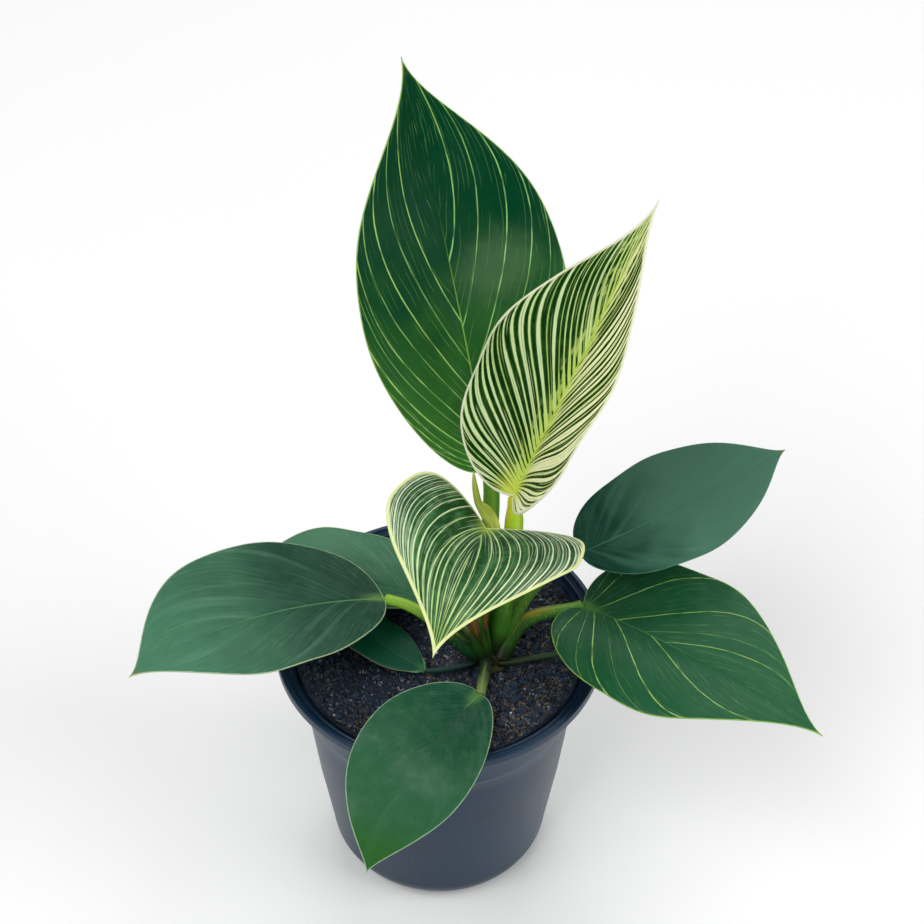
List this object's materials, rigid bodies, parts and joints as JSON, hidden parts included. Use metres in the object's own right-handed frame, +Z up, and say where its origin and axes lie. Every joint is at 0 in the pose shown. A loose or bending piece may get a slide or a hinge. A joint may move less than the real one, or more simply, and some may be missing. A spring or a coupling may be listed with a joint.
{
  "type": "potted philodendron birkin",
  "caption": "Small philodendron with pointed heart-shaped leaves, some closely striped cream, on curved stalks from a short stem in the soil of a round lipped nursery pot.",
  "frame": {"origin": "middle of the flat underside of the pot, on the surface it stands on", "axes": "+Z up along the pot's axis, +Y to the back of the plant where the tall leaf stands, +X to its right seen from the front"},
  "size_m": [0.2103, 0.1879, 0.257],
  "materials": {
    "pot_plastic": "satin slate-blue moulded plastic",
    "potting_mix": "dark moist crumbly potting mix with bark and perlite",
    "green_leaf": "waxy dark green with a few fine yellow-green lines and a pale margin",
    "striped_leaf": "waxy green closely striped with cream, with a pale midrib and margin",
    "stalk": "smooth yellow-green, brown towards the soil"
  },
  "bodies": {
    "root": {"pot": "pot_plastic", "soil": "potting_mix", "shoot": "stalk", "leaf_tall": "green_leaf", "leaf_upright": "striped_leaf", "leaf_heart": "striped_leaf", "leaf_right_low": "green_leaf", "leaf_right_high": "green_leaf", "leaf_left_wide": "green_leaf", "leaf_left_back": "green_leaf", "leaf_left_small": "green_leaf", "leaf_front": "green_leaf", "leaf_right_small": "green_leaf"}
  },
  "joints": []
}
